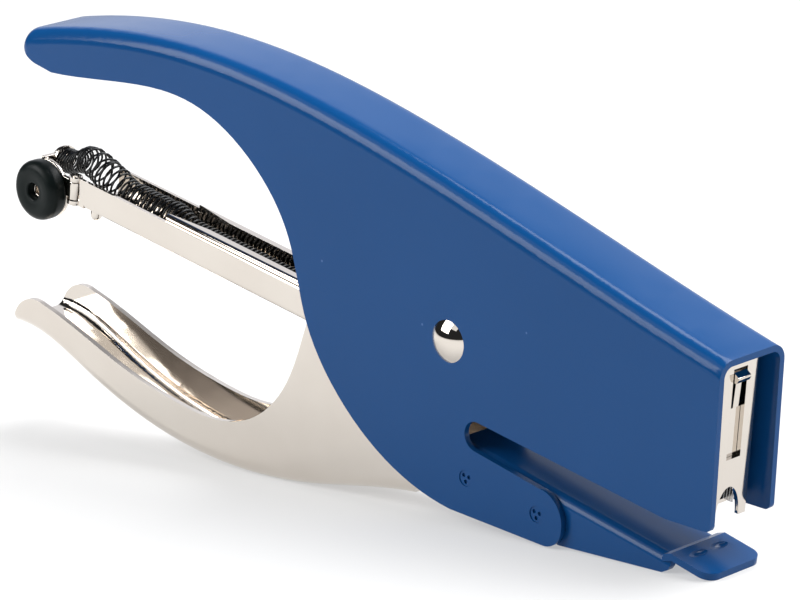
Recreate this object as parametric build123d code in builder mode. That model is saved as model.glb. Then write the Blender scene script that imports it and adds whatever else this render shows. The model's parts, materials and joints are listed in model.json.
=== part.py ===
from build123d import *
from math import cos, hypot, radians, sin
import os

os.makedirs("parts", exist_ok=True)

# ---------------------------------------------------------------------------
# A hand-held plier stapler of folded sheet steel.
#
# Every profile is drawn in the magazine's own frame: x runs forward along the
# magazine, y (the sketch's second axis) runs up from its floor, and the origin
# is the axis of the main pivot rivet. That frame is then pitched nose-down, so
# that the stapler stands on a table on its lower lever and its anvil tongue.
# ---------------------------------------------------------------------------

# sheet and widths
casing_width = 14.0
casing_sheet = 1.0
bend_radius = 2.6
tip_x = -100.55
tip_level = 13.6
tip_shoulder = 15.6
lever_width = 11.6
lever_sheet = 0.9
channel_width = 9.2
channel_sheet = 0.6
guide_width = 7.6
guide_sheet = 0.6
nose_width = 8.4
nose_sheet = 0.7
anvil_width = casing_width - 2 * casing_sheet - 0.1
anvil_sheet = 1.2

# main pivot
pivot_diameter = 4.0
running_clearance = 0.05
pivot_hole = pivot_diameter + 2 * running_clearance
pivot_head_diameter = 6.6
pivot_head_height = 1.2

# levels in the magazine's frame, from the pivot axis
channel_bottom = -9.8
channel_top = -5.1
guide_top = -4.1
guide_bottom = -9.1
slot_top = -10.4
anvil_top_rear = -15.2
anvil_slope = 1.8

# the magazine from the knob to the nose
channel_rear = -86.0
channel_front = 47.5
guide_rear = -66.0
guide_front = 48.8
nose_face_x = 50.9
nose_lean = 3.1
nose_bottom = channel_bottom
nose_top = 14.5
driver_thickness = 0.7
driver_half_width = 2.9
driver_bottom = -4.5
strip_length = 25.0
pusher_length = 12.0

# the lever's underside, from its tail to where it meets the casing
belly = [
    (-98.5, -35.2),
    (-92.5, -35.0),
    (-80.0, -37.9),
    (-62.0, -40.9),
    (-45.0, -40.2),
    (-30.0, -36.8),
    (-17.0, -32.1),
    (-6.0, -28.5),
]

# the anvil: where its walls end and where its tongue ends
anvil_rear = 3.0
wall_front = 46.8
tongue_rear = 45.2
tongue_front = 54.3
tongue_sheet = 1.1
tongue_top_rear = -15.85
tongue_top_front = -16.3
tongue_corner_radius = 2.2
anvil_bend_radius = 1.6


def anvil_top(x):
    return anvil_top_rear - (x - anvil_rear) * sin(radians(anvil_slope))


# the stapler rests on the lever's belly and the tongue's front edge: the pitch
# that brings both to one height is found by halving
tongue_foot = (tongue_front, tongue_top_front - tongue_sheet)
belly_curve = Spline(belly)
belly_points = [belly_curve @ (step / 400) for step in range(401)]


def height_at(x, y, angle):
    return y * cos(radians(angle)) - x * sin(radians(angle))


pitch_low = 5.0
pitch_high = 20.0
for _ in range(40):
    pitch = (pitch_low + pitch_high) / 2
    belly_height = min(height_at(point.X, point.Y, pitch) for point in belly_points)
    if belly_height < height_at(*tongue_foot, pitch):
        pitch_low = pitch
    else:
        pitch_high = pitch
pivot_height = -height_at(*tongue_foot, pitch)

# the pivot stands ahead of the middle of the whole length
pivot_ahead = 24.74

forward = Vector(cos(radians(pitch)), 0, -sin(radians(pitch)))
mid = Plane(
    origin=(pivot_ahead, 0, pivot_height),
    x_dir=forward,
    z_dir=(0, -1, 0),
)


def deck(height):
    """Plane of constant height in the magazine's frame: x forward, y to the far side."""
    return Plane(origin=mid.from_local_coords((0, height, 0)), x_dir=forward, z_dir=mid.y_dir)


def station(x, height=0.0):
    """Plane across the magazine at a distance ahead of the pivot: x to the far side, y up."""
    return Plane(origin=mid.from_local_coords((x, height, 0)), x_dir=(0, 1, 0), z_dir=forward)


def leaning(x, height=0.0):
    """Plane across the nose, leaning with it: x to the far side, y up along the nose."""
    facing = forward * cos(radians(nose_lean)) + mid.y_dir * sin(radians(nose_lean))
    return Plane(origin=mid.from_local_coords((x, height, 0)), x_dir=(0, 1, 0), z_dir=facing)


def local(edge):
    """Middle of an edge in the magazine's frame."""
    return mid.to_local_coords(edge.center())


def on_side(edge, distance):
    """Whether an edge lies at a distance to either side of the middle plane."""
    return abs(abs(local(edge).Z) - distance) < 0.01


def save(piece, label):
    piece.part.label = label
    export_step(piece.part, "parts/" + label + ".step")


# ---------------------------------------------------------------------------
# casing: one folded sheet, closed above and at the handle's tip, open in front
# and below, with a throat for the paper on each side
# ---------------------------------------------------------------------------
roof = [
    (-97.9, 17.4),
    (-84.0, 21.9),
    (-67.0, 25.5),
    (-46.0, 27.1),
    (-20.0, 25.9),
    (15.0, 21.6),
    (52.0, 16.7),
]
skirt_level = -40.0
grip = [
    (4.0, -26.3),
    (-9.0, -24.3),
    (-21.0, -17.9),
    (-30.0, -7.8),
    (-35.3, 4.0),
    (-44.5, 13.0),
    (-58.5, 17.9),
    (-74.0, 16.2),
    (-92.0, 11.9),
]
groove_x = 48.8
groove_side = 2.25
groove_half_length = 2.5
groove_belly = 0.95
groove_axis_height = 0.35
small_rivet_places = [(6.5, -20.1), (21.2, -20.0)]
small_rivet_diameter = 2.6

with BuildPart() as casing_cavity:
    with BuildSketch(mid):
        with BuildLine():
            under_roof = Spline([(x, y - casing_sheet) for x, y in roof])
            under_tip = TangentArc(
                under_roof @ 0,
                (tip_x + casing_sheet, tip_level + 0.4),
                tangent=(under_roof % 0) * -1,
            )
            Polyline(
                under_tip @ 1,
                (tip_x + casing_sheet, skirt_level),
                (70.0, skirt_level),
                (70.0, 14.3),
                under_roof @ 1,
            )
        make_face()
    extrude(amount=casing_width / 2 - casing_sheet, both=True)
    inner_bends = (
        casing_cavity.edges()
        .filter_by(lambda e: on_side(e, casing_width / 2 - casing_sheet))
        .filter_by(lambda e: e.geom_type == GeomType.BSPLINE or local(e).X < roof[0][0])
    )
    fillet(inner_bends, radius=bend_radius - casing_sheet)

with BuildPart() as casing:
    with BuildSketch(mid):
        with BuildLine():
            roof_line = Spline(roof)
            front_edge = Line(roof_line @ 1, (54.0, -8.2))
            front_corner = ThreePointArc(front_edge @ 1, (53.8, -8.9), (53.1, -9.3))
            front_rise = Line(front_corner @ 1, (45.5, slot_top))
            throat_roof = Line(front_rise @ 1, (7.6, slot_top))
            throat_end = ThreePointArc(throat_roof @ 1, (5.3, -12.8), (7.4, -15.1))
            arm_top = Line(throat_end @ 1, (21.4, -15.7))
            arm_shoulder = ThreePointArc(arm_top @ 1, (25.2, -17.2), (26.4, -20.4))
            arm_toe = ThreePointArc(arm_shoulder @ 1, (25.6, -23.0), (23.2, -24.3))
            arm_bottom = Line(arm_toe @ 1, grip[0])
            tip_arc = TangentArc(roof_line @ 0, (tip_x, tip_level), tangent=(roof_line % 0) * -1)
            Polyline(arm_bottom @ 1, (grip[0][0], skirt_level), (tip_x, skirt_level), tip_arc @ 1)
        make_face()
    extrude(amount=casing_width / 2, both=True)
    outer_bends = (
        casing.edges()
        .filter_by(lambda e: on_side(e, casing_width / 2))
        .filter_by(lambda e: local(e).Y > 19.0 or local(e).X < roof[0][0])
    )
    fillet(outer_bends, radius=bend_radius)
    # the handle's underside, open to the hand, and its rounded tip
    with BuildSketch(mid):
        with BuildLine():
            grip_line = Spline(grip)
            tip_bottom = Line(grip_line @ 1, (-96.0, 12.1))
            tip_corner = ThreePointArc(tip_bottom @ 1, (-98.9, 13.25), (tip_x, tip_shoulder))
            Polyline(
                tip_corner @ 1,
                (tip_x - 5.0, tip_shoulder),
                (tip_x - 5.0, skirt_level - 20.0),
                (grip[0][0], skirt_level - 20.0),
                grip_line @ 0,
            )
        make_face()
    extrude(amount=casing_width, both=True, mode=Mode.SUBTRACT)
    add(casing_cavity.part, mode=Mode.SUBTRACT)
    with BuildSketch(mid):
        Circle(pivot_diameter / 2)
        with Locations(*small_rivet_places):
            Circle(small_rivet_diameter / 2)
    extrude(amount=casing_width, both=True, mode=Mode.SUBTRACT)
save(casing, "casing")

# ---------------------------------------------------------------------------
# anvil: folded channel between the casing's arms, its tongue ahead of the nose
# ---------------------------------------------------------------------------
with BuildPart() as anvil:
    with BuildSketch(mid):
        with BuildLine():
            Polyline(
                (anvil_rear, anvil_top(anvil_rear)),
                (wall_front, anvil_top(wall_front)),
                (wall_front, anvil_top(wall_front) - 1.4),
                (46.4, -18.7),
                (45.4, -19.4),
                (25.5, -23.6),
                (anvil_rear, -24.0),
                close=True,
            )
        make_face()
    extrude(amount=anvil_width / 2, both=True)
    top_edges = (
        anvil.edges()
        .filter_by(lambda e: on_side(e, anvil_width / 2))
        .filter_by(lambda e: e.length > 35)
        .sort_by(lambda e: local(e).Y)[-2:]
    )
    fillet(top_edges, radius=anvil_bend_radius)
    with BuildSketch(mid):
        with BuildLine():
            Polyline(
                (anvil_rear - 3, anvil_top(anvil_rear - 3) - anvil_sheet),
                (wall_front + 3, anvil_top(wall_front + 3) - anvil_sheet),
                (wall_front + 3, -30.0),
                (anvil_rear - 3, -30.0),
                close=True,
            )
        make_face()
    extrude(amount=anvil_width / 2 - anvil_sheet, both=True, mode=Mode.SUBTRACT)
    # tongue, a flat plate one small step above the channel's top
    with BuildSketch(mid):
        with BuildLine():
            Polyline(
                (tongue_rear, anvil_top(tongue_rear)),
                (tongue_rear + 1.4, tongue_top_rear),
                (tongue_front, tongue_top_front),
                (tongue_front, tongue_top_front - tongue_sheet),
                (tongue_rear + 1.8, tongue_top_rear - tongue_sheet),
                (tongue_rear, anvil_top(tongue_rear) - anvil_sheet),
                close=True,
            )
        make_face()
    extrude(amount=anvil_width / 2, both=True)
    tongue_corners = (
        anvil.edges()
        .filter_by(lambda e: abs(local(e).X - tongue_front) < 0.05)
        .filter_by(lambda e: e.length < 1.5)
    )
    fillet(tongue_corners, radius=tongue_corner_radius)
    # two clinching grooves, end to end across the tongue, pointed at their ends
    groove_height = tongue_top_rear + groove_axis_height
    for side in (-1, 1):
        groove_plane = Plane(
            origin=mid.from_local_coords((groove_x, groove_height, side * groove_side)),
            x_dir=(0, 1, 0),
            z_dir=mid.y_dir,
        )
        with BuildSketch(groove_plane):
            with BuildLine():
                ThreePointArc((-groove_half_length, 0), (0, groove_belly), (groove_half_length, 0))
                Line((-groove_half_length, 0), (groove_half_length, 0))
            make_face()
        revolve(axis=Axis(groove_plane.origin, (0, 1, 0)), mode=Mode.SUBTRACT)
    with BuildSketch(mid):
        with Locations(*small_rivet_places):
            Circle(small_rivet_diameter / 2)
    extrude(amount=casing_width, both=True, mode=Mode.SUBTRACT)
save(anvil, "anvil")

# ---------------------------------------------------------------------------
# anvil_rivets: two on each side, staked flush with the casing, three dimples each
# ---------------------------------------------------------------------------
rivet_recess = 0.15
rivet_inner = anvil_width / 2 - anvil_sheet - 0.8
rivet_flare = 0.7
rivet_flare_height = 0.75
dimple_ring = 0.62
dimple_radius = 0.34
dimple_depth = 0.3

with BuildPart() as anvil_rivets:
    for side in (-1, 1):
        with BuildSketch(mid.offset(side * rivet_inner)):
            with Locations(*small_rivet_places):
                Circle(small_rivet_diameter / 2)
        extrude(amount=side * (casing_width / 2 - rivet_recess - rivet_inner))
        with BuildSketch(mid.offset(side * rivet_inner)):
            with Locations(*small_rivet_places):
                Circle(small_rivet_diameter / 2 + rivet_flare)
        extrude(amount=side * rivet_flare_height)
        with BuildSketch(mid.offset(side * (casing_width / 2 - rivet_recess))):
            for place in small_rivet_places:
                with Locations(place):
                    with PolarLocations(dimple_ring, 3, start_angle=30):
                        Circle(dimple_radius)
        extrude(amount=-side * dimple_depth, mode=Mode.SUBTRACT)
save(anvil_rivets, "anvil_rivets")

# ---------------------------------------------------------------------------
# main pivot: rivet with two domed heads, a bush between the magazine's ears and
# a washer in each gap between ear and lever cheek
# ---------------------------------------------------------------------------
dome_sphere = (pivot_head_height**2 + (pivot_head_diameter / 2) ** 2) / (2 * pivot_head_height)
rim = pivot_head_diameter / 2
half = casing_width / 2
shoulder = 0.6 * rim
shoulder_height = pivot_head_height - dome_sphere + (dome_sphere**2 - shoulder**2) ** 0.5

with BuildPart() as pivot_rivet:
    with BuildSketch(deck(0)):
        with BuildLine():
            Polyline((0, half), (0, half + pivot_head_height))
            ThreePointArc(
                (0, half + pivot_head_height),
                (shoulder, half + shoulder_height),
                (rim, half),
            )
            Polyline((rim, half), (0, half))
        make_face()
        mirror(about=Plane.XZ)
        Rectangle(pivot_diameter / 2, 2 * half, align=(Align.MIN, Align.CENTER))
    revolve(axis=Axis(mid.origin, (0, 1, 0)))
save(pivot_rivet, "pivot_rivet")

ear_inner = guide_width / 2 - guide_sheet
bush_diameter = 5.4
with BuildPart() as pivot_bush:
    with BuildSketch(mid):
        Circle(bush_diameter / 2)
        Circle(pivot_hole / 2, mode=Mode.SUBTRACT)
    extrude(amount=ear_inner - 0.05, both=True)
save(pivot_bush, "pivot_bush")

washer_diameter = 8.0
washer_inner = guide_width / 2 + 0.05
washer_outer = lever_width / 2 - lever_sheet - 0.05
with BuildPart() as cheek_washers:
    for side in (-1, 1):
        with BuildSketch(mid.offset(side * washer_inner)):
            Circle(washer_diameter / 2)
            Circle(pivot_hole / 2, mode=Mode.SUBTRACT)
        extrude(amount=side * (washer_outer - washer_inner))
save(cheek_washers, "cheek_washers")

# ---------------------------------------------------------------------------
# lever: pressed trough behind, open above; two cheeks on the pivot; arms ahead
# of it joined by a top web, with the neck that works the driver
# ---------------------------------------------------------------------------
rim_line = [
    (-91.5, -29.2),
    (-85.0, -30.1),
    (-72.0, -32.6),
    (-58.0, -33.7),
    (-48.5, -32.9),
    (-41.0, -29.6),
    (-34.5, -21.8),
    (-31.2, -11.0),
    (-27.0, 0.0),
    (-16.0, 5.6),
    (0.0, 6.4),
]
arm_tip_x = 42.9
web_rear_x = 12.0
cheek_inner = lever_width / 2 - lever_sheet
neck_half = 0.6
neck_low = 7.4
neck_front = 50.1
tip_half = 1.35
tip_low = 11.9
tip_high = 13.2
neck_root = arm_tip_x - 0.3
web_front_height = 13.0
web_rear_height = 11.0
trough_bend = 1.4
tip_front = 51.2

with BuildPart() as trough_cavity:
    with BuildSketch(mid):
        with BuildLine():
            above_belly = Spline([(x, y + lever_sheet) for x, y in belly])
            Polyline(
                above_belly @ 1,
                (1.5, -23.4),
                (60.0, -23.4),
                (60.0, 40.0),
                (-110.0, 40.0),
                (-110.0, -34.8),
                above_belly @ 0,
            )
        make_face()
    extrude(amount=cheek_inner, both=True)
    inner_bend = (
        trough_cavity.edges()
        .filter_by(lambda e: on_side(e, cheek_inner))
        .filter_by(GeomType.BSPLINE)
    )
    fillet(inner_bend, radius=trough_bend)

with BuildPart() as lever:
    with BuildSketch(mid):
        with BuildLine():
            belly_line = Spline(belly)
            cheek_front = Polyline(belly_line @ 1, (0.5, -21.0), (2.5, -9.0))
            arm_under = ThreePointArc(cheek_front @ 1, (6.5, -3.6), (13.0, -1.6))
            arm_low = Line(arm_under @ 1, (arm_tip_x, 6.4))
            arm_end = Line(arm_low @ 1, (arm_tip_x, web_front_height))
            arm_high = Line(arm_end @ 1, (web_rear_x, web_rear_height))
            ThreePointArc(arm_high @ 1, (6.0, 8.2), rim_line[-1])
            rear_rim = Spline(rim_line[::-1])
            ThreePointArc(rear_rim @ 1, (-97.4, -31.4), belly_line @ 0)
        make_face()
    extrude(amount=lever_width / 2, both=True)
    outer_bend = (
        lever.edges()
        .filter_by(lambda e: on_side(e, lever_width / 2))
        .filter_by(GeomType.BSPLINE)
        .sort_by(lambda e: local(e).Y)[:2]
    )
    fillet(outer_bend, radius=trough_bend + lever_sheet)
    add(trough_cavity.part, mode=Mode.SUBTRACT)
    # top web between the arms
    with BuildSketch(mid):
        with BuildLine():
            Polyline(
                (web_rear_x, web_rear_height),
                (arm_tip_x, web_front_height),
                (arm_tip_x, web_front_height - lever_sheet),
                (web_rear_x, web_rear_height - lever_sheet),
                close=True,
            )
        make_face()
    extrude(amount=lever_width / 2 - 0.2, both=True)
    # end plate across the arms, and the upright neck that passes the driver
    with BuildSketch(mid):
        with BuildLine():
            Polyline(
                (arm_tip_x - lever_sheet, neck_low),
                (arm_tip_x, neck_low),
                (arm_tip_x, web_front_height),
                (arm_tip_x - lever_sheet, 12.9),
                close=True,
            )
        make_face()
    extrude(amount=cheek_inner + 0.1, both=True)
    with BuildSketch(mid):
        with BuildLine():
            Polyline(
                (neck_root, neck_low),
                (neck_front, neck_low),
                (neck_front, tip_low + 0.5),
                (neck_root, tip_low + 0.5),
                close=True,
            )
        make_face()
    extrude(amount=neck_half, both=True)
    # blunt tip on the neck, which reaches out through the nose plate's window
    with BuildSketch(mid):
        with BuildLine():
            FilletPolyline(
                (neck_root, tip_low),
                (tip_front - 0.4, tip_low - 0.3),
                (tip_front, tip_high - 0.7),
                (tip_front - 1.2, tip_high),
                (neck_root, tip_high),
                radius=0.3,
                close=True,
            )
        make_face()
    extrude(amount=tip_half, both=True)
    with BuildSketch(mid):
        Circle(pivot_hole / 2)
    extrude(amount=lever_width, both=True, mode=Mode.SUBTRACT)
save(lever, "lever")

# ---------------------------------------------------------------------------
# return_spring: torsion coil round the bush, one leg under the lever's web and
# one against the roof behind the pivot
# ---------------------------------------------------------------------------
coil_outer = 3.7
coil_inner = 2.85
coil_half = 2.2
leg_diameter = 0.9
leg_side = 1.6
with BuildPart() as return_spring:
    with BuildSketch(mid):
        Circle(coil_outer)
        Circle(coil_inner, mode=Mode.SUBTRACT)
    extrude(amount=coil_half, both=True)
    for side, start, end in ((1, (2.0, 2.6), (19.0, 9.6)), (-1, (-2.4, 2.2), (-17.6, 23.4))):
        run = hypot(end[0] - start[0], end[1] - start[1])
        leg_origin = mid.from_local_coords((start[0], start[1], side * leg_side))
        leg_end = mid.from_local_coords((end[0], end[1], side * leg_side))
        with BuildSketch(Plane(origin=leg_origin, z_dir=leg_end - leg_origin)):
            Circle(leg_diameter / 2)
        extrude(amount=run)
save(return_spring, "return_spring")

# ---------------------------------------------------------------------------
# magazine_channel: outer channel, open above; its near wall carries two lugs
# for the gate's pin
# ---------------------------------------------------------------------------
gate_pin_x = -87.3
gate_pin_side = channel_width / 2 - 0.3
gate_pin_diameter = 1.2
lug_radius = 1.2
lug_thickness = 0.7
floor_rivet_x = -83.2
floor_rivet_side = 3.0
floor_rivet_diameter = 1.2
floor_rivet_head = 0.95
floor_rivet_drop = 1.8

with BuildPart() as magazine_channel:
    with BuildSketch(station(channel_rear)):
        with Locations((0, channel_bottom)):
            Rectangle(channel_width, channel_top - channel_bottom, align=(Align.CENTER, Align.MIN))
        with Locations((0, channel_bottom + channel_sheet)):
            Rectangle(
                channel_width - 2 * channel_sheet,
                channel_top - channel_bottom,
                align=(Align.CENTER, Align.MIN),
                mode=Mode.SUBTRACT,
            )
    extrude(amount=channel_front - channel_rear)
    bottom_bends = (
        magazine_channel.edges()
        .filter_by(lambda e: e.length > 100)
        .filter_by(lambda e: on_side(e, channel_width / 2))
        .sort_by(lambda e: local(e).Y)[:2]
    )
    fillet(bottom_bends, radius=0.7)
    rear_far_corner = (
        magazine_channel.edges()
        .filter_by(lambda e: local(e).X < channel_rear + 0.1)
        .filter_by(lambda e: local(e).Y > channel_top - 0.1)
        .filter_by(lambda e: local(e).Z < 0)
    )
    fillet(rear_far_corner, radius=1.6)
    for height in (channel_top - lug_thickness, channel_bottom):
        with BuildSketch(deck(height)):
            with Locations((gate_pin_x, -gate_pin_side)):
                Circle(lug_radius)
            with Locations(((gate_pin_x + channel_rear) / 2 + 0.5, -gate_pin_side)):
                Rectangle(channel_rear - gate_pin_x + 1.6, 2 * (channel_width / 2 - gate_pin_side))
        extrude(amount=lug_thickness)
    with BuildSketch(deck(channel_bottom - 1)):
        with Locations((gate_pin_x, -gate_pin_side)):
            Circle(gate_pin_diameter / 2)
        with Locations((floor_rivet_x, -floor_rivet_side)):
            Circle(floor_rivet_diameter / 2)
    extrude(amount=20, mode=Mode.SUBTRACT)
save(magazine_channel, "magazine_channel")

with BuildPart() as floor_rivet:
    with BuildSketch(deck(channel_bottom)):
        with Locations((floor_rivet_x, -floor_rivet_side)):
            Circle(floor_rivet_diameter / 2)
    extrude(amount=channel_sheet)
    with BuildSketch(deck(channel_bottom)):
        with Locations((floor_rivet_x, -floor_rivet_side)):
            Circle(floor_rivet_head)
    extrude(amount=-floor_rivet_drop)
    fillet(floor_rivet.faces().sort_by(Axis(mid.origin, mid.y_dir))[0].edges(), radius=0.9)
    with BuildSketch(deck(channel_bottom + channel_sheet)):
        with Locations((floor_rivet_x, -floor_rivet_side)):
            Circle(floor_rivet_head)
    extrude(amount=0.4)
save(floor_rivet, "floor_rivet")

# ---------------------------------------------------------------------------
# magazine_guide: inner guide, an inverted channel whose slotted top makes two
# lips over the staples; two ears rise to the main pivot
# ---------------------------------------------------------------------------
lip_gap = 4.4
lip_taper = 8.5
lip_slot_front = -9.0
nose_rivet_places = [(43.0, -1.8), (43.0, 1.8)]
nose_rivet_diameter = 1.6

with BuildPart() as magazine_guide:
    with BuildSketch(station(guide_rear)):
        with Locations((0, guide_bottom)):
            Rectangle(guide_width, guide_top - guide_bottom, align=(Align.CENTER, Align.MIN))
            Rectangle(
                guide_width - 2 * guide_sheet,
                guide_top - guide_bottom - guide_sheet,
                align=(Align.CENTER, Align.MIN),
                mode=Mode.SUBTRACT,
            )
    extrude(amount=guide_front - guide_rear)
    top_bends = (
        magazine_guide.edges()
        .filter_by(lambda e: e.length > 100)
        .filter_by(lambda e: on_side(e, guide_width / 2))
        .sort_by(lambda e: local(e).Y)[-2:]
    )
    fillet(top_bends, radius=0.6)
    with BuildSketch(deck(guide_top - 2 * guide_sheet)):
        with BuildLine():
            Polyline(
                (guide_rear - 1, -guide_width / 2 + guide_sheet / 2),
                (guide_rear + lip_taper, -lip_gap / 2),
                (lip_slot_front, -lip_gap / 2),
                (lip_slot_front, lip_gap / 2),
                (guide_rear + lip_taper, lip_gap / 2),
                (guide_rear - 1, guide_width / 2 - guide_sheet / 2),
                close=True,
            )
        make_face()
    extrude(amount=3 * guide_sheet, mode=Mode.SUBTRACT)
    for side in (-1, 1):
        with BuildSketch(mid.offset(side * ear_inner)):
            with BuildLine():
                ear_left = Line((-6.5, guide_top - 0.3), (-3.6, 1.0))
                ear_top = ThreePointArc(ear_left @ 1, (0.0, 3.8), (3.6, 1.0))
                Polyline(ear_top @ 1, (6.5, guide_top - 0.3), ear_left @ 0)
            make_face()
            Circle(pivot_hole / 2, mode=Mode.SUBTRACT)
        extrude(amount=side * guide_sheet)
    with BuildSketch(deck(guide_top - 2 * guide_sheet)):
        with Locations(*nose_rivet_places):
            Circle(nose_rivet_diameter / 2)
    extrude(amount=3 * guide_sheet, mode=Mode.SUBTRACT)
save(magazine_guide, "magazine_guide")

# ---------------------------------------------------------------------------
# nose_plate: upright front plate, folded back at both sides, with a tall window
# for the lever's neck and an arch at its foot; nose_rivets hold its foot
# ---------------------------------------------------------------------------
window_half = 1.5
window_low = -0.4
window_high = 13.7
arch_side = -0.35
arch_half = 2.6
arch_height = 5.0
flange_bottom = guide_top + 0.35
flange_depth = 4.4
foot_rear_x = 40.6
foot_length = 6.6
foot_sheet = 0.6
nose_rivet_head = 1.25
nose_rivet_head_height = 0.7

with BuildPart() as nose_plate:
    front_plane = leaning(nose_face_x)
    with BuildSketch(front_plane):
        with Locations((0, nose_bottom)):
            Rectangle(nose_width, nose_top - nose_bottom, align=(Align.CENTER, Align.MIN))
    extrude(amount=-nose_sheet)
    with BuildSketch(front_plane):
        for side in (-1, 1):
            with Locations((side * (nose_width - nose_sheet) / 2, flange_bottom)):
                Rectangle(nose_sheet, nose_top - flange_bottom, align=(Align.CENTER, Align.MIN))
    extrude(amount=-nose_sheet - flange_depth)
    front_bends = (
        nose_plate.edges()
        .filter_by(lambda e: e.length > 15)
        .filter_by(lambda e: abs(front_plane.to_local_coords(e.center()).Z) < 0.01)
        .filter_by(lambda e: abs(abs(front_plane.to_local_coords(e.center()).X) - nose_width / 2) < 0.01)
    )
    fillet(front_bends, radius=0.6)
    # horizontal foot on the guide, between the two flanges
    with BuildSketch(deck(guide_top)):
        with Locations((foot_rear_x, 0)):
            Rectangle(foot_length, nose_width, align=(Align.MIN, Align.CENTER))
    extrude(amount=foot_sheet)
    with BuildSketch(front_plane):
        with Locations((0, window_low)):
            Rectangle(2 * window_half, window_high - window_low, align=(Align.CENTER, Align.MIN))
        with Locations((arch_side, nose_bottom)):
            Ellipse(arch_half, arch_height)
    extrude(amount=-nose_sheet - 0.1, both=True, mode=Mode.SUBTRACT)
    with BuildSketch(deck(guide_top - 0.1)):
        with Locations(*nose_rivet_places):
            Circle(nose_rivet_diameter / 2)
    extrude(amount=1.0, mode=Mode.SUBTRACT)
save(nose_plate, "nose_plate")

with BuildPart() as nose_rivets:
    with BuildSketch(deck(guide_top - guide_sheet)):
        with Locations(*nose_rivet_places):
            Circle(nose_rivet_diameter / 2)
    extrude(amount=guide_sheet + foot_sheet)
    with BuildSketch(deck(guide_top + foot_sheet)):
        with Locations(*nose_rivet_places):
            Circle(nose_rivet_head)
    extrude(amount=nose_rivet_head_height)
save(nose_rivets, "nose_rivets")

# ---------------------------------------------------------------------------
# driver: blade behind the nose plate, with an opening for the lever's neck
# ---------------------------------------------------------------------------
driver_gap = 0.06
driver_top = 14.2
driver_opening = 1.6
with BuildPart() as driver:
    with BuildSketch(leaning(nose_face_x).offset(-nose_sheet - driver_gap)):
        with Locations((0, driver_bottom)):
            Rectangle(2 * driver_half_width, driver_top - driver_bottom, align=(Align.CENTER, Align.MIN))
        with Locations((0, neck_low - 0.2)):
            Rectangle(
                2 * driver_opening,
                tip_high - neck_low + 0.6,
                align=(Align.CENTER, Align.MIN),
                mode=Mode.SUBTRACT,
            )
    extrude(amount=-driver_thickness)
save(driver, "driver")

# ---------------------------------------------------------------------------
# staples: half a strip, legs down, close behind the driver's path
# ---------------------------------------------------------------------------
strip_front = nose_face_x - nose_sheet - 0.6
staple_half = 3.1
staple_wire = 0.45
crown_top = -4.86
leg_bottom = -8.9
with BuildPart() as staples:
    with BuildSketch(station(strip_front)):
        with Locations((0, leg_bottom)):
            Rectangle(2 * staple_half, crown_top - leg_bottom, align=(Align.CENTER, Align.MIN))
            Rectangle(
                2 * (staple_half - staple_wire),
                crown_top - leg_bottom - staple_wire,
                align=(Align.CENTER, Align.MIN),
                mode=Mode.SUBTRACT,
            )
    extrude(amount=-strip_length)
save(staples, "staples")

# ---------------------------------------------------------------------------
# pusher: block behind the strip, with a tail pin inside the spring
# ---------------------------------------------------------------------------
pusher_front = strip_front - strip_length - 0.05
pusher_rear = pusher_front - pusher_length
spring_axis = -7.05
tail_radius = 0.8
tail_length = 9.0
with BuildPart() as pusher:
    with BuildSketch(station(pusher_front)):
        with Locations((0, leg_bottom)):
            Rectangle(2 * staple_half - 0.1, crown_top - leg_bottom, align=(Align.CENTER, Align.MIN))
    extrude(amount=-pusher_length)
    fillet(pusher.edges().filter_by(Axis((0, 0, 0), forward)), radius=0.35)
    with BuildSketch(station(pusher_rear, spring_axis)):
        Circle(tail_radius)
    extrude(amount=-tail_length)
save(pusher, "pusher")

# ---------------------------------------------------------------------------
# gate: hinged at the rear end of the channel, with the knob's disc outside and
# an arm across the channel's end that holds the spring seat
# ---------------------------------------------------------------------------
knob_centre = (-93.6, -9.3)
knob_radius = 5.0
knob_thickness = 3.2
gate_sheet = 0.8
gate_outer = channel_width / 2 + 0.2
seat_x = -95.0
seat_height = -5.3
seat_side = 0.6
seat_radius = 2.3
seat_thickness = 0.5
seat_shank_radius = 0.7
seat_stud_radius = 0.9
seat_stud_length = 1.2
seat_washer_radius = 1.9
seat_post_height = 4.0
seat_arm_height = 2.2
eyelet_bore = 1.8
eyelet_tube_radius = 1.3
eyelet_flange_radius = 2.1
eyelet_flange = 0.5
eyelet_reach = 1.8
knob_bore_radius = 1.45
knuckle_radius = 1.1
knuckle_low = channel_bottom + lug_thickness + 0.1
knuckle_high = channel_top - lug_thickness - 0.1

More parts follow.
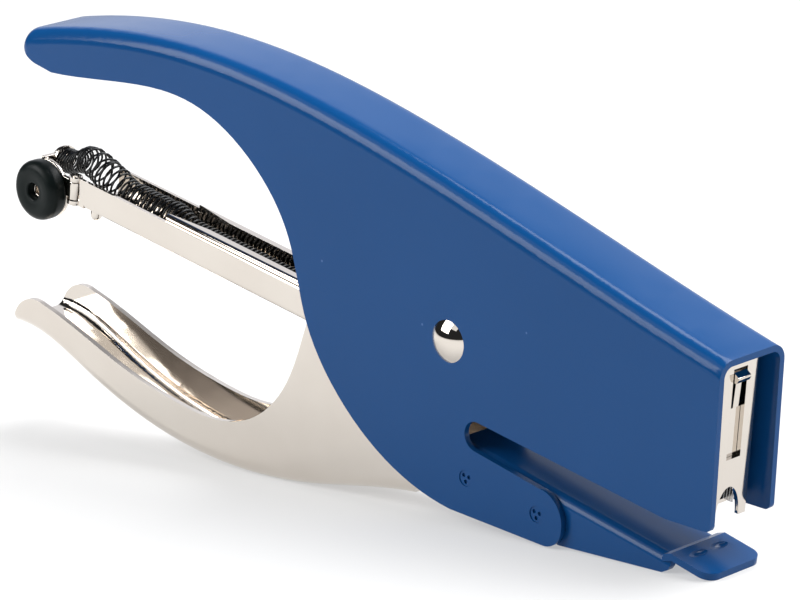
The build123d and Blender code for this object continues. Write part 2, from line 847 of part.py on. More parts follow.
with BuildPart() as gate:
    with BuildSketch(mid.offset(gate_outer - gate_sheet)):
        with Locations(knob_centre):
            Circle(knob_radius - 0.1)
        with Locations(((gate_pin_x + knob_centre[0]) / 2, (knuckle_low + knuckle_high) / 2)):
            Rectangle(abs(gate_pin_x - knob_centre[0]), knuckle_high - knuckle_low)
        with Locations((seat_x, seat_height - 0.9)):
            Rectangle(gate_sheet, seat_post_height)
    extrude(amount=gate_sheet)
    with BuildSketch(deck(knuckle_low)):
        with Locations((gate_pin_x, -gate_pin_side)):
            Circle(knuckle_radius)
    extrude(amount=knuckle_high - knuckle_low)
    with BuildSketch(station(seat_x - gate_sheet / 2, seat_height)):
        with Locations((-gate_outer, 0)):
            Rectangle(gate_outer - seat_side, seat_arm_height, align=(Align.MIN, Align.CENTER))
        with Locations((-seat_side, 0)):
            Circle(seat_washer_radius)
    extrude(amount=gate_sheet)
    with BuildSketch(deck(channel_bottom - 1)):
        with Locations((gate_pin_x, -gate_pin_side)):
            Circle(gate_pin_diameter / 2 + running_clearance)
    extrude(amount=20, mode=Mode.SUBTRACT)
    with BuildSketch(mid):
        with Locations(knob_centre):
            Circle(eyelet_tube_radius)
    extrude(amount=20, both=True, mode=Mode.SUBTRACT)
    with BuildSketch(station(seat_x - 2, seat_height)):
        with Locations((-seat_side, 0)):
            Circle(seat_shank_radius)
    extrude(amount=4, mode=Mode.SUBTRACT)
save(gate, "gate")

with BuildPart() as gate_pin:
    with BuildSketch(deck(channel_bottom - 0.3)):
        with Locations((gate_pin_x, -gate_pin_side)):
            Circle(gate_pin_diameter / 2)
    extrude(amount=channel_top - channel_bottom + 0.6)
save(gate_pin, "gate_pin")

with BuildPart() as knob:
    with BuildSketch(mid.offset(gate_outer)):
        with Locations(knob_centre):
            Circle(knob_radius)
    extrude(amount=knob_thickness)
    fillet(knob.faces().sort_by(Axis.Y)[0].edges(), radius=1.3)
    fillet(knob.faces().sort_by(Axis.Y)[-1].edges(), radius=0.5)
    with BuildSketch(mid.offset(gate_outer)):
        with Locations(knob_centre):
            Circle(knob_bore_radius)
    extrude(amount=knob_thickness, mode=Mode.SUBTRACT)
save(knob, "knob")

with BuildPart() as knob_eyelet:
    with BuildSketch(mid.offset(gate_outer - gate_sheet - eyelet_flange)):
        with Locations(knob_centre):
            Circle(eyelet_flange_radius)
            Circle(eyelet_bore / 2, mode=Mode.SUBTRACT)
    extrude(amount=eyelet_flange)
    with BuildSketch(mid.offset(gate_outer - gate_sheet)):
        with Locations(knob_centre):
            Circle(eyelet_tube_radius)
            Circle(eyelet_bore / 2, mode=Mode.SUBTRACT)
    extrude(amount=gate_sheet + eyelet_reach)
save(knob_eyelet, "knob_eyelet")

with BuildPart() as spring_seat:
    with BuildSketch(station(seat_x + gate_sheet / 2, seat_height)):
        with Locations((-seat_side, 0)):
            Circle(seat_radius)
    extrude(amount=seat_thickness)
    with BuildSketch(station(seat_x - gate_sheet / 2 - 0.3, seat_height)):
        with Locations((-seat_side, 0)):
            Circle(seat_shank_radius)
    extrude(amount=gate_sheet + 0.3)
    with BuildSketch(station(seat_x + gate_sheet / 2 + seat_thickness, seat_height)):
        with Locations((-seat_side, 0)):
            Circle(seat_stud_radius)
    extrude(amount=seat_stud_length)
save(spring_seat, "spring_seat")

# ---------------------------------------------------------------------------
# pusher_spring: long coil from the seat, over the channel's end and along the
# guide to the pusher; a plain tube stands for its turns
# ---------------------------------------------------------------------------
spring_outer = 1.85
spring_inner = 1.15
route = [
    (pusher_rear - 0.05, spring_axis, 0.0),
    (-77.0, spring_axis, 0.0),
    (-84.2, -5.2, 0.2),
    (-88.6, -3.5, 0.4),
    (-91.8, seat_height, seat_side),
    (seat_x + gate_sheet / 2 + seat_thickness + 0.05, seat_height, seat_side),
]
with BuildPart() as pusher_spring:
    with BuildLine() as spring_path:
        FilletPolyline(
            *[mid.from_local_coords(point) for point in route],
            radius=[12.0, 6.0, 3.5, 1.8],
        )
    with BuildSketch(Plane(origin=spring_path.line @ 0, z_dir=spring_path.line % 0)):
        Circle(spring_outer)
        Circle(spring_inner, mode=Mode.SUBTRACT)
    sweep()
save(pusher_spring, "pusher_spring")
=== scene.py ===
import json
import random
from math import acos, atan2, cos, degrees, hypot, pi, radians, sin

import bmesh
import bpy
from mathutils import Matrix, Vector


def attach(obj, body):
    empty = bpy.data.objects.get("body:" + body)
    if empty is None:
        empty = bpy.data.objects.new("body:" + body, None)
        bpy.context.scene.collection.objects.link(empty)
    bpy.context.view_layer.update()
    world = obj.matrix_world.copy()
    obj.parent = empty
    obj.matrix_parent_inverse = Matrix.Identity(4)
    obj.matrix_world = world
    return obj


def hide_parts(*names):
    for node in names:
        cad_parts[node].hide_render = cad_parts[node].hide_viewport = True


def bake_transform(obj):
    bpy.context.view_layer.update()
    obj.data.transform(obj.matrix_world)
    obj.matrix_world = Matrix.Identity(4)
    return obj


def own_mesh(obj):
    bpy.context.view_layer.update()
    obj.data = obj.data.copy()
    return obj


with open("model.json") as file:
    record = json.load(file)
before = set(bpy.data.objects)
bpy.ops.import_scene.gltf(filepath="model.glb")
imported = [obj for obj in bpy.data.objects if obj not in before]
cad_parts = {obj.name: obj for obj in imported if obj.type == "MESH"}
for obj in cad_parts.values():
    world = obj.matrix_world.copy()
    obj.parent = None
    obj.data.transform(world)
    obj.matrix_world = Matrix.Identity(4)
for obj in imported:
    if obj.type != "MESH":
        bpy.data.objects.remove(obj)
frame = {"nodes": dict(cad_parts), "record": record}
bpy.context.view_layer.update()

MM = 0.001

# ---------------------------------------------------------------------------
# the magazine's own axes, as the drawings use them: millimetres ahead of the
# main pivot, above it, and towards the far side
# ---------------------------------------------------------------------------
joints = {joint["name"]: joint for joint in frame["record"]["behaviour"]["joints"]}
PIVOT = Vector(joints["lever_squeeze"]["pos_m"])
AHEAD = Vector(joints["pusher_slide"]["axis"]).normalized()
ABOVE = Vector(joints["gate_swing"]["axis"]).normalized()
FAR = Vector((0, 1, 0))


def place(ahead, above, far=0.0):
    return PIVOT + (AHEAD * ahead + ABOVE * above + FAR * far) * MM


def reach(node):
    """Lowest and highest (ahead, above, far) of a CAD node."""
    spots = [vertex.co - PIVOT for vertex in frame["nodes"][node].data.vertices]
    rows = [[spot.dot(axis) / MM for spot in spots] for axis in (AHEAD, ABOVE, FAR)]
    return [min(row) for row in rows], [max(row) for row in rows]


# ---------------------------------------------------------------------------
# material helpers
# ---------------------------------------------------------------------------
# nearly all of a noise lies between these two levels
NOISE_LOW = 0.3
NOISE_HIGH = 0.7


def new_material(name, metallic=0.0, specular=0.5):
    """Material with one shader; what is the same all over is set on its sockets."""
    material = bpy.data.materials.new(name)
    material.use_nodes = True
    tree = material.node_tree
    tree.nodes.clear()
    out = tree.nodes.new("ShaderNodeOutputMaterial")
    shader = tree.nodes.new("ShaderNodeBsdfPrincipled")
    shader.inputs["Metallic"].default_value = metallic
    shader.inputs["Specular IOR Level"].default_value = specular
    tree.links.new(shader.outputs["BSDF"], out.inputs["Surface"])
    return material, tree, shader


def on_object(tree, node):
    """Feed the object's own coordinates to a texture node."""
    coords = tree.nodes.new("ShaderNodeTexCoord")
    tree.links.new(coords.outputs["Object"], node.inputs["Vector"])


def noise(tree, scale, detail=2.0, roughness=0.5):
    node = tree.nodes.new("ShaderNodeTexNoise")
    node.inputs["Scale"].default_value = scale
    node.inputs["Detail"].default_value = detail
    node.inputs["Roughness"].default_value = roughness
    on_object(tree, node)
    return node.outputs["Fac"]


def ramp(tree, source, stops):
    """Colour ramp from (level, colour) stops."""
    node = tree.nodes.new("ShaderNodeValToRGB")
    while len(node.color_ramp.elements) < len(stops):
        node.color_ramp.elements.new(0.5)
    for element, (level, colour) in zip(node.color_ramp.elements, stops):
        element.position = level
        element.color = (*colour, 1.0)
    tree.links.new(source, node.inputs["Fac"])
    return node.outputs["Color"]


def tint(tree, shader, source, dark, pale, start=NOISE_LOW, end=NOISE_HIGH):
    """Base colour that goes from dark to pale with the source."""
    colour = ramp(tree, source, [(start, dark), (end, pale)])
    tree.links.new(colour, shader.inputs["Base Color"])


def polish(tree, shader, source, smooth, rough, start=NOISE_LOW, end=NOISE_HIGH):
    """Roughness that goes from smooth to rough with the source."""
    level = ramp(tree, source, [(start, (smooth,) * 3), (end, (rough,) * 3)])
    tree.links.new(level, shader.inputs["Roughness"])


def bump(tree, shader, height, strength, distance):
    node = tree.nodes.new("ShaderNodeBump")
    node.inputs["Strength"].default_value = strength
    node.inputs["Distance"].default_value = distance
    tree.links.new(height, node.inputs["Height"])
    tree.links.new(node.outputs["Normal"], shader.inputs["Normal"])


# ---------------------------------------------------------------------------
# materials
# ---------------------------------------------------------------------------
WHITE = (1.0, 1.0, 1.0)
BLACK = (0.0, 0.0, 0.0)
ENAMEL_DARK = (0.0032, 0.055, 0.189)
ENAMEL_PALE = (0.0040, 0.059, 0.201)
DUST_COLOUR = (0.06, 0.14, 0.32, 1.0)
FLOOR_GLOW = 0.45


def dust_specks(tree):
    """White at the middle of each scattered cell, black elsewhere."""
    speck = tree.nodes.new("ShaderNodeTexVoronoi")
    speck.inputs["Scale"].default_value = 95.0
    on_object(tree, speck)
    return ramp(tree, speck.outputs["Distance"], [(0.012, WHITE), (0.022, BLACK)])


def blue_enamel():
    """Stoved enamel: even blue, glossy, with faint tone changes and a few dust specks."""
    material, tree, shader = new_material("enamel_blue", specular=0.20)
    tone = noise(tree, scale=30.0, detail=3.0)
    colour = ramp(tree, tone, [(NOISE_LOW, ENAMEL_DARK), (NOISE_HIGH, ENAMEL_PALE)])
    mix = tree.nodes.new("ShaderNodeMixRGB")
    mix.inputs["Color2"].default_value = DUST_COLOUR
    tree.links.new(dust_specks(tree), mix.inputs["Fac"])
    tree.links.new(colour, mix.inputs["Color1"])
    tree.links.new(mix.outputs["Color"], shader.inputs["Base Color"])
    polish(tree, shader, noise(tree, scale=160.0), smooth=0.17, rough=0.20)
    bump(tree, shader, noise(tree, scale=700.0), strength=0.04, distance=0.02 * MM)
    return material


def nickel(name, smooth, rough, waviness):
    """Warm plated nickel with cloudy gloss; the pressed pieces are a little wavy."""
    material, tree, shader = new_material(name, metallic=1.0)
    tint(tree, shader, noise(tree, scale=60.0, detail=3.0), (0.66, 0.605, 0.545), (0.70, 0.65, 0.59))
    cloud = noise(tree, scale=260.0, detail=4.0, roughness=0.6)
    polish(tree, shader, cloud, smooth, rough, end=0.75)
    if waviness:
        bump(tree, shader, noise(tree, scale=90.0, detail=1.0), waviness, distance=0.1 * MM)
    return material


def black_plastic():
    """Moulded plastic with a fine grain."""
    material, tree, shader = new_material("plastic_black", specular=0.12)
    grain = noise(tree, scale=500.0, detail=3.0)
    tint(tree, shader, grain, (0.0045, 0.0075, 0.0075), (0.007, 0.011, 0.0105), start=0.35)
    polish(tree, shader, grain, smooth=0.30, rough=0.42)
    bump(tree, shader, grain, strength=0.10, distance=0.06 * MM)
    return material


def spring_black():
    """Black oxide on drawn wire."""
    material, tree, shader = new_material("wire_black", metallic=0.5)
    grain = noise(tree, scale=900.0)
    tint(tree, shader, grain, (0.010, 0.011, 0.012), (0.026, 0.027, 0.028))
    polish(tree, shader, grain, smooth=0.22, rough=0.36)
    return material


def steel(name, dark, pale, smooth, rough):
    """Bare drawn wire, grey and slightly mottled."""
    material, tree, shader = new_material(name, metallic=1.0)
    grain = noise(tree, scale=700.0, detail=3.0)
    tint(tree, shader, grain, dark, pale)
    polish(tree, shader, grain, smooth, rough)
    return material


def plain_floor():
    """Pale paper floor that glows a little, so that it meets the white backdrop."""
    material, tree, shader = new_material("floor_pale", specular=0.0)
    tone = noise(tree, scale=3.0)
    tint(tree, shader, tone, (0.375, 0.375, 0.375), (0.395, 0.395, 0.395), start=0.0, end=1.0)
    shader.inputs["Roughness"].default_value = 0.9
    shader.inputs["Emission Color"].default_value = (*WHITE, 1.0)
    shader.inputs["Emission Strength"].default_value = FLOOR_GLOW
    return material


MATERIALS = {
    "blue_enamel": blue_enamel(),
    "nickel_satin": nickel("nickel_satin_metal", smooth=0.05, rough=0.10, waviness=0.03),
    "nickel_bright": nickel("nickel_bright_metal", smooth=0.02, rough=0.04, waviness=0.0),
    "spring_black": spring_black(),
    "spring_steel": steel("spring_steel_metal", (0.30, 0.29, 0.27), (0.42, 0.40, 0.38), 0.18, 0.30),
    "staple_wire": steel("staple_wire_metal", (0.56, 0.56, 0.56), (0.68, 0.68, 0.68), 0.14, 0.24),
    "knob_black": black_plastic(),
}

# ---------------------------------------------------------------------------
# the CAD solids keep their shapes; their edges are softened, more under paint
# ---------------------------------------------------------------------------
EDGE_PAINTED = 0.38 * MM
EDGE_METAL = 0.10 * MM
EDGE_OWN = {"anvil": 0.24 * MM, "gate": 0.28 * MM}
EVEN_SHADED = ("anvil", "lever")
WELD_DISTANCE = 0.001 * MM


def soften(obj, width, segments, sharper_than):
    """Round the edges that are sharper than an angle in degrees."""
    edge = obj.modifiers.new("edge", "BEVEL")
    edge.width = width
    edge.segments = segments
    edge.limit_method = "ANGLE"
    edge.angle_limit = radians(sharper_than)
    return edge


def dress(node):
    """Give a CAD node its material and soft edges."""
    obj = frame["nodes"][node]
    slot_name = obj.data.materials[0].name.split(".")[0]
    obj.data.materials[0] = MATERIALS[slot_name]
    weld = obj.modifiers.new("weld", "WELD")
    weld.merge_threshold = WELD_DISTANCE
    usual_width = EDGE_PAINTED if slot_name == "blue_enamel" else EDGE_METAL
    edge = soften(obj, EDGE_OWN.get(node, usual_width), segments=3, sharper_than=40)
    edge.harden_normals = True
    if node in EVEN_SHADED:
        even = obj.modifiers.new("even", "WEIGHTED_NORMAL")
        even.keep_sharp = True


for name in frame["nodes"]:
    dress(name)

# ---------------------------------------------------------------------------
# mesh helpers
# ---------------------------------------------------------------------------


def add_piece(name, mesh, slot, body, replaced=()):
    obj = bpy.data.objects.new(name, mesh)
    bpy.context.scene.collection.objects.link(obj)
    mesh.materials.append(MATERIALS[slot])
    if body:
        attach(obj, body)
    if replaced:
        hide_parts(*replaced)
    return obj


def finished_mesh(work, name, smooth=True):
    """Turn a bmesh into a mesh with its normals outward."""
    bmesh.ops.recalc_face_normals(work, faces=work.faces)
    mesh = bpy.data.meshes.new(name)
    work.to_mesh(mesh)
    work.free()
    for face in mesh.polygons:
        face.use_smooth = smooth
    return mesh


def join_rings(work, ring, following):
    """Faces between two closed rings of vertices."""
    count = len(ring)
    for corner in range(count):
        beside = (corner + 1) % count
        work.faces.new((ring[corner], ring[beside], following[beside], following[corner]))


def round_way(across, other, share):
    """Direction at a share of a turn, in the plane of two vectors."""
    angle = 2 * pi * share
    return across * cos(angle) + other * sin(angle)


TIP_SHARE = 0.5


def tube_mesh(name, points, radius, sides=8):
    """Round wire along a line of points, closed at both ends by a cone half a radius high."""
    work = bmesh.new()
    rings = []
    across = None
    for step, point in enumerate(points):
        before = points[max(step - 1, 0)]
        after = points[min(step + 1, len(points) - 1)]
        along = (after - before).normalized()
        if across is None:
            across = along.orthogonal().normalized()
        across = (across - along * across.dot(along)).normalized()
        other = along.cross(across)
        ways = [round_way(across, other, corner / sides) for corner in range(sides)]
        rings.append([work.verts.new(point + way * radius) for way in ways])
    for ring, following in zip(rings, rings[1:]):
        join_rings(work, ring, following)
    for ring, end, inward in ((rings[0], points[0], points[1]), (rings[-1], points[-1], points[-2])):
        tip = work.verts.new(end + (end - inward).normalized() * radius * TIP_SHARE)
        for corner in range(sides):
            work.faces.new((ring[corner], ring[(corner + 1) % sides], tip))
    return finished_mesh(work, name)


def lathe_mesh(name, profile, centre, axis, steps):
    """Closed profile of (radius, height) turned round an axis."""
    across = axis.orthogonal().normalized()
    other = axis.cross(across)
    work = bmesh.new()
    rings = []
    for step in range(steps):
        way = round_way(across, other, step / steps)
        spots = [centre + (way * radius + axis * height) * MM for radius, height in profile]
        rings.append([work.verts.new(spot) for spot in spots])
    for step in range(steps):
        join_rings(work, rings[step], rings[(step + 1) % steps])
    return finished_mesh(work, name)


def arc(centre, radius, start, end, steps):
    """Points of an arc in a profile, angles in degrees."""
    found = []
    for step in range(steps + 1):
        angle = radians(start + (end - start) * step / steps)
        found.append((centre[0] + radius * cos(angle), centre[1] + radius * sin(angle)))
    return found


def between(low, high, share):
    """Smooth passage from low to high as the share goes from 0 to 1."""
    share = max(0.0, min(1.0, share))
    return low + (high - low) * share * share * (3 - 2 * share)


def wander(values, turn):
    """Smooth passage from each turn's value to the next one's."""
    whole = int(turn)
    return between(values[whole], values[whole + 1], turn % 1.0)


# ---------------------------------------------------------------------------
# pusher spring: one black wire in two pieces. In the channel it is pressed
# together by the pusher; behind the channel it stands up in loose wide loops
# and ends in tight turns on the seat, which swings with the gate
# ---------------------------------------------------------------------------
WIRE_RADIUS = 0.19
WIRE_TIP = 0.10
STEPS_PER_TURN = 18
spring_rear, spring_front = (corner[0] for corner in reach("pusher_spring"))
SPRING_FRONT = spring_front - WIRE_TIP
SEAT_FACE = spring_rear + WIRE_TIP
CHANNEL_MOUTH = -84.0

# the coil in the guide
COIL_HEIGHT = -7.05
COIL_RADIUS = 1.85
COIL_PITCH = 0.94
LEAN = 0.10
LEAN_PHASE = 0.6
GUIDED_LEAN = 0.4

# behind the guide it widens and gets uneven, and rises to the channel's mouth
WIDER_FROM = -62.0
WIDER_WITHIN = 6.0
WIDER_BY = 0.50
WIDER_RISE = 0.75
MOUTH_FROM = -78.0
MOUTH_WITHIN = 8.0
MOUTH_WIDER_BY = 0.15
MOUTH_RISE = 1.8
UNEVEN_FROM = -64.0
UNEVEN_WITHIN = 4.0
UNEVEN_RADIUS = 0.05
UNEVEN_PITCH = 0.28

# behind the channel: its middle line, in shares of the way from mouth to seat
HUMP_SHARE = 0.45
HUMP_TOP = -3.6
SEAT_SHARE = 0.87
SEAT_HEIGHT = -5.3
SEAT_FAR = -0.6

# and its turns: loose loops that bulge, then tight ones that narrow to the seat
LOOSE_TURNS = 7
TIGHT_TURNS = 7
LOOSE_SHARE = 0.60
NARROW_SHARE = 0.55
MOUTH_RADIUS = 2.36
SEAT_RADIUS = 1.95
BULGE_TURNS = LOOSE_TURNS + 1.5
BULGE_FULLNESS = 0.8
BULGE_RADIUS = 0.30
LOOP_TILT = 0.55
LOOP_SHIFT = 0.35
LOOP_TALLNESS = 0.06
TIGHT_TILT = 0.12
TILT_PHASE = 0.8


def channel_centre(ahead):
    """Height of the coil's middle line and its radius, along the magazine."""
    widening = between(0, 1, (WIDER_FROM - ahead) / WIDER_WITHIN)
    rise = between(0, 1, (MOUTH_FROM - ahead) / MOUTH_WITHIN)
    above = COIL_HEIGHT + WIDER_RISE * widening + MOUTH_RISE * rise
    radius = COIL_RADIUS + WIDER_BY * widening + MOUTH_WIDER_BY * rise
    return above, radius


def channel_coil():
    """Even turns in the guide, a little uneven behind it; returns the end at the mouth."""
    rng = random.Random(11)
    coil_length = SPRING_FRONT - CHANNEL_MOUTH
    turns = int(coil_length / COIL_PITCH)
    drift = [rng.uniform(-1, 1) for _ in range(turns + 2)]
    points = []
    for step in range(turns * STEPS_PER_TURN + 1):
        turn = step / STEPS_PER_TURN
        ahead = CHANNEL_MOUTH + turn * COIL_PITCH
        above, radius = channel_centre(ahead)
        free = between(0, 1, (UNEVEN_FROM - ahead) / UNEVEN_WITHIN)
        unevenness = wander(drift, turn) * free
        angle = 2 * pi * turn
        lean = LEAN * radius * sin(angle + LEAN_PHASE) * (GUIDED_LEAN + free)
        radius *= 1 + UNEVEN_RADIUS * unevenness
        points.append(place(
            ahead + lean + UNEVEN_PITCH * unevenness,
            above + radius * sin(angle),
            radius * cos(angle),
        ))
    mesh = tube_mesh("pusher_spring_channel", points, WIRE_RADIUS * MM)
    piece = add_piece("pusher_spring_channel", mesh, "spring_black", "magazine", ("pusher_spring",))
    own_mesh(piece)
    return points[0]


def hump_centre(share):
    """Middle line of the loose stretch: from the channel's mouth over a hump to the seat."""
    ahead = CHANNEL_MOUTH + (SEAT_FACE - CHANNEL_MOUTH) * share
    above_mouth, _ = channel_centre(CHANNEL_MOUTH)
    if share < HUMP_SHARE:
        above = between(above_mouth, HUMP_TOP, share / HUMP_SHARE)
    else:
        above = between(HUMP_TOP, SEAT_HEIGHT, (share - HUMP_SHARE) / (SEAT_SHARE - HUMP_SHARE))
    return ahead, above, between(0.0, SEAT_FAR, share)


def rear_coil(start):
    """Loose tilted loops over the hump, then tight turns; starts where the channel's coil ends."""
    rng = random.Random(5)
    turns = LOOSE_TURNS + TIGHT_TURNS
    tilts, shifts, swells = zip(*([rng.uniform(-1, 1) for _ in range(3)] for _ in range(turns + 2)))
    points = []
    for step in range(turns * STEPS_PER_TURN + 1):
        turn = step / STEPS_PER_TURN
        if turn <= LOOSE_TURNS:
            share = LOOSE_SHARE * turn / LOOSE_TURNS
        else:
            share = LOOSE_SHARE + (1 - LOOSE_SHARE) * (turn - LOOSE_TURNS) / TIGHT_TURNS
        ahead, above, far = hump_centre(share)
        bulge = sin(pi * turn / BULGE_TURNS) ** BULGE_FULLNESS if turn < BULGE_TURNS else 0.0
        radius = between(MOUTH_RADIUS, SEAT_RADIUS, share / NARROW_SHARE) + BULGE_RADIUS * bulge
        angle = 2 * pi * turn
        tilt = (LOOP_TILT * bulge * wander(tilts, turn) + TIGHT_TILT) * radius
        tallness = 1 + LOOP_TALLNESS * bulge * wander(swells, turn)
        points.append(place(
            ahead + tilt * sin(angle + TILT_PHASE) + LOOP_SHIFT * bulge * wander(shifts, turn),
            above + radius * tallness * sin(angle),
            far + radius * cos(angle),
        ))
    points[0] = start
    mesh = tube_mesh("pusher_spring_rear", points, WIRE_RADIUS * MM)
    piece = add_piece("pusher_spring_rear", mesh, "spring_black", None)
    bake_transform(piece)


rear_coil(channel_coil())

# ---------------------------------------------------------------------------
# return spring: torsion coil on the pivot's bush, one leg under the lever's
# web and one against the roof
# ---------------------------------------------------------------------------
RETURN_WIRE_RADIUS = 0.45
RETURN_RADIUS = 3.28
RETURN_TURNS = 4
FRONT_LEG_END = (19.0, 9.6)
REAR_LEG_END = (-17.6, 23.4)
LEG_SIDE = 1.6
COIL_STEPS = 120
LEG_STEPS = 14


def tangent_angle(end, side):
    """Angle at which a straight leg to its end leaves the coil."""
    return atan2(end[1], end[0]) + side * acos(RETURN_RADIUS / hypot(*end))


def torsion_spring():
    start = tangent_angle(FRONT_LEG_END, 1)
    finish = tangent_angle(REAR_LEG_END, -1) + 2 * pi * RETURN_TURNS
    coil = []
    for step in range(COIL_STEPS + 1):
        share = step / COIL_STEPS
        angle = start + (finish - start) * share
        coil.append(place(
            RETURN_RADIUS * cos(angle),
            RETURN_RADIUS * sin(angle),
            -LEG_SIDE + 2 * LEG_SIDE * share,
        ))
    front = place(*FRONT_LEG_END, -LEG_SIDE)
    rear = place(*REAR_LEG_END, LEG_SIDE)
    points = [front.lerp(coil[0], step / LEG_STEPS) for step in range(LEG_STEPS)]
    points += coil
    points += [coil[-1].lerp(rear, step / LEG_STEPS) for step in range(1, LEG_STEPS + 1)]
    mesh = tube_mesh("return_spring_wire", points, RETURN_WIRE_RADIUS * MM, sides=12)
    piece = add_piece("return_spring_wire", mesh, "spring_steel", None, ("return_spring",))
    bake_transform(piece)


torsion_spring()

# ---------------------------------------------------------------------------
# staples: a strip of separate U-shaped staples with a hair's breadth between
# ---------------------------------------------------------------------------
strip_rear, staple_foot, _ = reach("staples")[0]
strip_front, staple_top, staple_half = reach("staples")[1]
STAPLE_WIRE = 0.45
STAPLE_PITCH = 0.50
STAPLE_GAP = 0.04
STAPLE_SHOULDER = 0.55
STAPLE_INNER_BEND = 0.15
STAPLE_CHISEL = 0.18
STAPLE_EDGE = 0.06 * MM


def staple_outline():
    """One staple seen from the front: crown with rounded shoulders and two chiselled legs."""
    inner_half = staple_half - STAPLE_WIRE
    inner_top = staple_top - STAPLE_WIRE
    shoulder = (staple_half - STAPLE_SHOULDER, staple_top - STAPLE_SHOULDER)
    inner_bend = (inner_half - STAPLE_INNER_BEND, inner_top - STAPLE_INNER_BEND)
    outside = [(staple_half, staple_foot)] + arc(shoulder, STAPLE_SHOULDER, 0, 90, 5)
    inside = arc(inner_bend, STAPLE_INNER_BEND, 90, 0, 3)
    inside += [(inner_half, staple_foot + STAPLE_CHISEL)]
    outside += [(-across, above) for across, above in reversed(outside)]
    inside = [(-across, above) for across, above in reversed(inside)] + inside
    return outside + inside


def staple_strip():
    outline = staple_outline()
    work = bmesh.new()
    for number in range(round((strip_front - strip_rear) / STAPLE_PITCH)):
        front = strip_front - number * STAPLE_PITCH
        faces = []
        for ahead in (front, front - STAPLE_PITCH + STAPLE_GAP):
            faces.append([work.verts.new(place(ahead, above, across)) for across, above in outline])
        join_rings(work, *faces)
        work.faces.new(faces[0])
        work.faces.new(faces[1])
    mesh = finished_mesh(work, "staple_strip", smooth=False)
    piece = add_piece("staple_strip", mesh, "staple_wire", "magazine", ("staples",))
    soften(piece, STAPLE_EDGE, segments=2, sharper_than=50)


staple_strip()

# ---------------------------------------------------------------------------
# knob: moulded disc with a rolled rim, a shallow dish and a bored middle
# ---------------------------------------------------------------------------
KNOB_RADIUS = 5.0
KNOB_BORE = 1.40
BACK_ROUND = 0.55
RIM_ROUND = 1.55
RIM_HEIGHT = 1.62
DISH = ((2.95, 3.14), (2.4, 3.08), (2.1, 3.02))
LIP_ROUND = 0.32
LIP_HEIGHT = 2.70
BORE_STEP = 1.4


def moulded_knob():
    profile = [(KNOB_BORE, 0.0)]
    profile += arc((KNOB_RADIUS - BACK_ROUND, BACK_ROUND), BACK_ROUND, -90, 0, 5)
    profile += arc((KNOB_RADIUS - RIM_ROUND, RIM_HEIGHT), RIM_ROUND, 0, 84, 12)
    profile += DISH
    profile += arc((KNOB_BORE + LIP_ROUND, LIP_HEIGHT), LIP_ROUND, 80, 180, 5)
    profile += [(KNOB_BORE, BORE_STEP)]
    ahead, above, _ = ((low + high) / 2 for low, high in zip(*reach("knob_eyelet")))
    _, _, back = reach("knob")[1]
    mesh = lathe_mesh("moulded_knob", profile, place(ahead, above, back), -FAR, steps=96)
    add_piece("moulded_knob", mesh, "knob_black", "gate", ("knob",))


moulded_knob()

# ---------------------------------------------------------------------------
# main pivot: a shank with a polished dome riveted over at each end
# ---------------------------------------------------------------------------
RIVET_SHANK = 2.0
# the turned profile stops this short of the axis, so that no face is folded flat
AXIS_GAP = 0.004


def domed_rivet():
    _, _, casing_side = reach("casing")[1]
    dome_radius, _, dome_top = reach("pivot_rivet")[1]
    dome_height = dome_top - casing_side
    sphere = (dome_height**2 + dome_radius**2) / (2 * dome_height)
    rim_angle = degrees(acos(dome_radius / sphere))
    pole_angle = degrees(acos(AXIS_GAP / sphere))
    far_side = [(RIVET_SHANK, casing_side)]
    far_side += arc((0, dome_top - sphere), sphere, rim_angle, pole_angle, 14)
    near_side = [(radius, -height) for radius, height in reversed(far_side)]
    mesh = lathe_mesh("domed_rivet", near_side + far_side, PIVOT, FAR, steps=112)
    mesh.set_sharp_from_angle(angle=radians(30))
    add_piece("domed_rivet", mesh, "nickel_bright", "frame", ("pivot_rivet",))


domed_rivet()

# ---------------------------------------------------------------------------
# floor, light, camera
# ---------------------------------------------------------------------------
FLOOR_HALF = 6.0
LIGHT_AIM = Vector((0, 0, 0.03))
ROOM_COLOUR = (0.025, 0.026, 0.028, 1.0)
BACKDROP_FROM = 0.20
BACKDROP_FULL = 0.50


def floor():
    half = FLOOR_HALF
    corners = [(-half, -half, 0), (half, -half, 0), (half, half, 0), (-half, half, 0)]
    mesh = bpy.data.meshes.new("floor")
    mesh.from_pydata(corners, [], [(0, 1, 2, 3)])
    obj = bpy.data.objects.new("floor", mesh)
    bpy.context.scene.collection.objects.link(obj)
    obj.data.materials.append(plain_floor())


def softbox(name, direction, distance, width, height, radiance):
    """Rectangular soft light of an even brightness, facing the stapler."""
    light = bpy.data.lights.new(name, "AREA")
    light.shape = "RECTANGLE"
    light.size = width
    light.size_y = height
    light.energy = radiance * pi * width * height
    obj = bpy.data.objects.new(name, light)
    bpy.context.scene.collection.objects.link(obj)
    way = Vector(direction).normalized()
    obj.location = LIGHT_AIM + way * distance
    obj.rotation_mode = "QUATERNION"
    obj.rotation_quaternion = way.to_track_quat("Z", "Y")


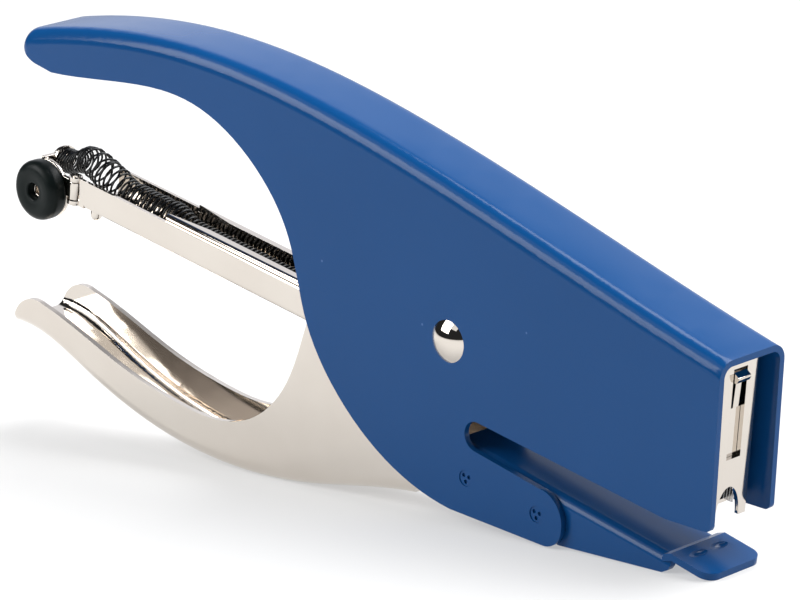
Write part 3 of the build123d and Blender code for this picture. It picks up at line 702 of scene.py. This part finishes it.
def studio_dome():
    """Dim room with a pale backdrop low down on the far side."""
    scene = bpy.context.scene
    world = bpy.data.worlds.new("studio")
    scene.world = world
    world.use_nodes = True
    tree = world.node_tree
    coords = tree.nodes.new("ShaderNodeTexCoord")
    split = tree.nodes.new("ShaderNodeSeparateXYZ")
    tree.links.new(coords.outputs["Generated"], split.inputs["Vector"])
    backdrop = ramp(tree, split.outputs["Z"], [
        (0.0, (0.50, 0.50, 0.50)),
        (0.12, (0.92, 0.93, 0.96)),
        (0.30, (0.98, 1.0, 1.06)),
        (0.60, (1.0, 1.02, 1.10)),
        (0.82, (0.03, 0.03, 0.03)),
    ])
    farther = tree.nodes.new("ShaderNodeMapRange")
    farther.inputs["From Min"].default_value = BACKDROP_FROM
    farther.inputs["From Max"].default_value = BACKDROP_FULL
    tree.links.new(split.outputs["Y"], farther.inputs["Value"])
    mix = tree.nodes.new("ShaderNodeMixRGB")
    mix.inputs["Color1"].default_value = ROOM_COLOUR
    tree.links.new(farther.outputs["Result"], mix.inputs["Fac"])
    tree.links.new(backdrop, mix.inputs["Color2"])
    tree.links.new(mix.outputs["Color"], tree.nodes["Background"].inputs["Color"])
    tree.nodes["Background"].inputs["Strength"].default_value = 1.0
    scene.view_settings.view_transform = "Standard"


CAMERA_AZIMUTH = 46.242
CAMERA_ELEVATION = 14.434
CAMERA_ROLL = 4.036
CAMERA_DISTANCE = 0.687
CAMERA_AIM = Vector((0.007776, 0.0, 0.031774))
CAMERA_LENS = 202.5


def camera():
    data = bpy.data.cameras.new("camera")
    data.lens = CAMERA_LENS
    data.sensor_width = 36.0
    data.clip_start = 0.01
    data.clip_end = 50.0
    obj = bpy.data.objects.new("camera", data)
    bpy.context.scene.collection.objects.link(obj)
    azimuth, elevation = radians(CAMERA_AZIMUTH), radians(CAMERA_ELEVATION)
    back = Vector((sin(azimuth) * cos(elevation), -cos(azimuth) * cos(elevation), sin(elevation)))
    obj.location = CAMERA_AIM + back * CAMERA_DISTANCE
    obj.rotation_mode = "QUATERNION"
    roll = Matrix.Rotation(-radians(CAMERA_ROLL), 4, "Z").to_quaternion()
    obj.rotation_quaternion = back.to_track_quat("Z", "Y") @ roll
    bpy.context.scene.camera = obj


floor()
studio_dome()
softbox("key", (-0.50, -0.68, 0.50), distance=0.8, width=0.52, height=0.45, radiance=6.0)
softbox("card", (-0.24, -0.60, 0.72), distance=1.0, width=1.10, height=0.62, radiance=1.05)
softbox("top", (0.30, 0.40, 0.86), distance=1.1, width=1.1, height=1.1, radiance=6.9)
camera()

bpy.context.view_layer.update()
